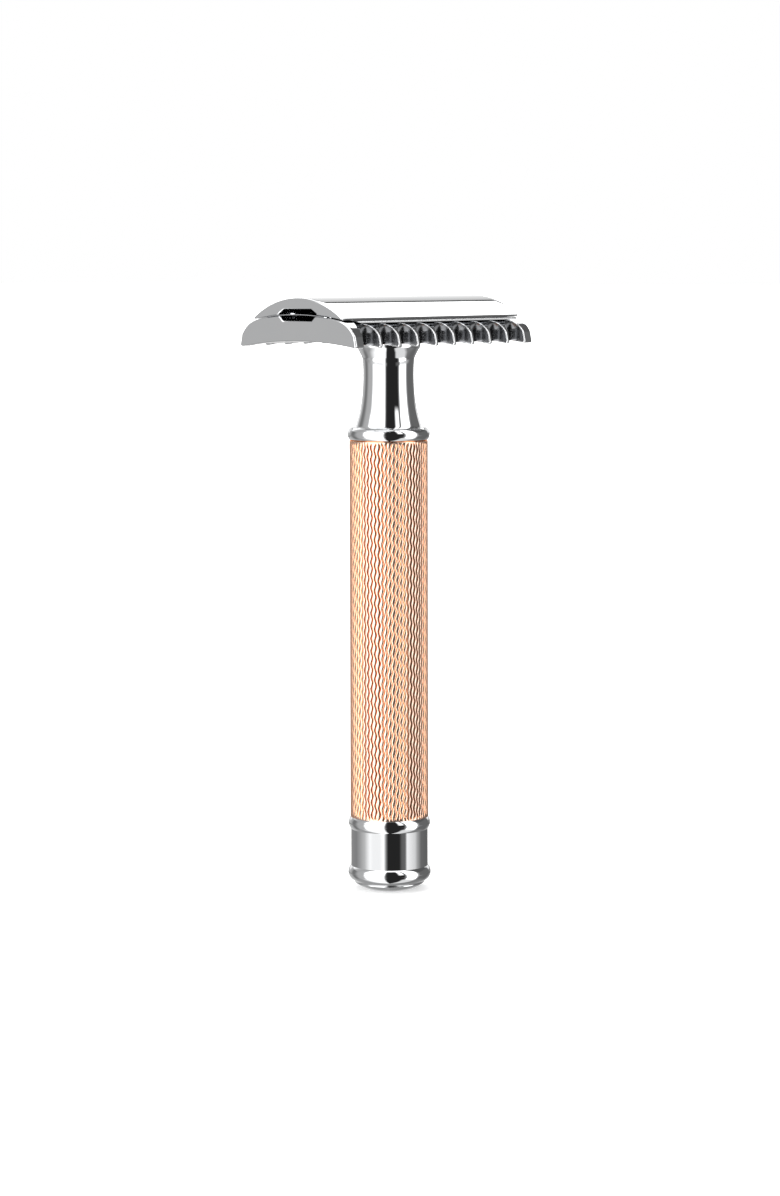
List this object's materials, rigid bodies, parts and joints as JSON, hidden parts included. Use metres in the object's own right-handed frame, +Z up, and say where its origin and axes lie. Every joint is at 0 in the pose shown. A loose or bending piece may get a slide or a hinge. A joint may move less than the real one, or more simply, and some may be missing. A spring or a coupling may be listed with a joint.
{
  "type": "safety razor",
  "caption": "Double-edge safety razor with a domed cap, a curved blade, an open comb plate and a wavy engine-turned handle that unscrews from the head.",
  "frame": {"origin": "centre of the flat foot of the handle, on the surface that it stands on", "axes": "+Z up the handle to the cap; X along the long side of the head; Y across the head, so the cutting edges face +Y and -Y"},
  "size_m": [0.0428, 0.0242, 0.094],
  "materials": {
    "chrome_plate": "mirror-polished chrome plate",
    "rose_gold": "bright rose-gold plate over engine turning",
    "blade_steel": "fine lengthwise brushing with ground edges",
    "bright_steel": "bright turned steel",
    "zinc_steel": "zinc-plated steel",
    "brass": "turned brass"
  },
  "bodies": {
    "handle": {"end_plug": "chrome_plate", "end_knob": "chrome_plate", "grip_sleeve": "rose_gold", "neck_ferrule": "chrome_plate", "thread_bush": "brass", "tie_rod": "zinc_steel", "rod_nut": "zinc_steel"},
    "guard": {"comb_plate": "chrome_plate"},
    "blade": {"blade": "blade_steel"},
    "cap": {"top_cap": "chrome_plate", "cap_stud": "bright_steel"}
  },
  "joints": [
    {"name": "head_turn", "type": "hinge", "parent": "handle", "child": "guard", "pos_m": [0, 0, 0.087], "axis": [0, 0, 1], "range_deg": [0, 2700]},
    {"name": "cap_lift", "type": "slide", "parent": "guard", "child": "cap", "axis": [0, 0, 1], "range_m": [0, 0.00605]},
    {"name": "blade_lift", "type": "slide", "parent": "guard", "child": "blade", "axis": [0, 0, 1], "range_m": [0, 0.00305]}
  ],
  "couplings": [
    {"joint": "cap_lift", "follows": "head_turn", "m_per_rad": 0.00012732},
    {"joint": "blade_lift", "follows": "head_turn", "m_per_rad": 0.000063662}
  ]
}
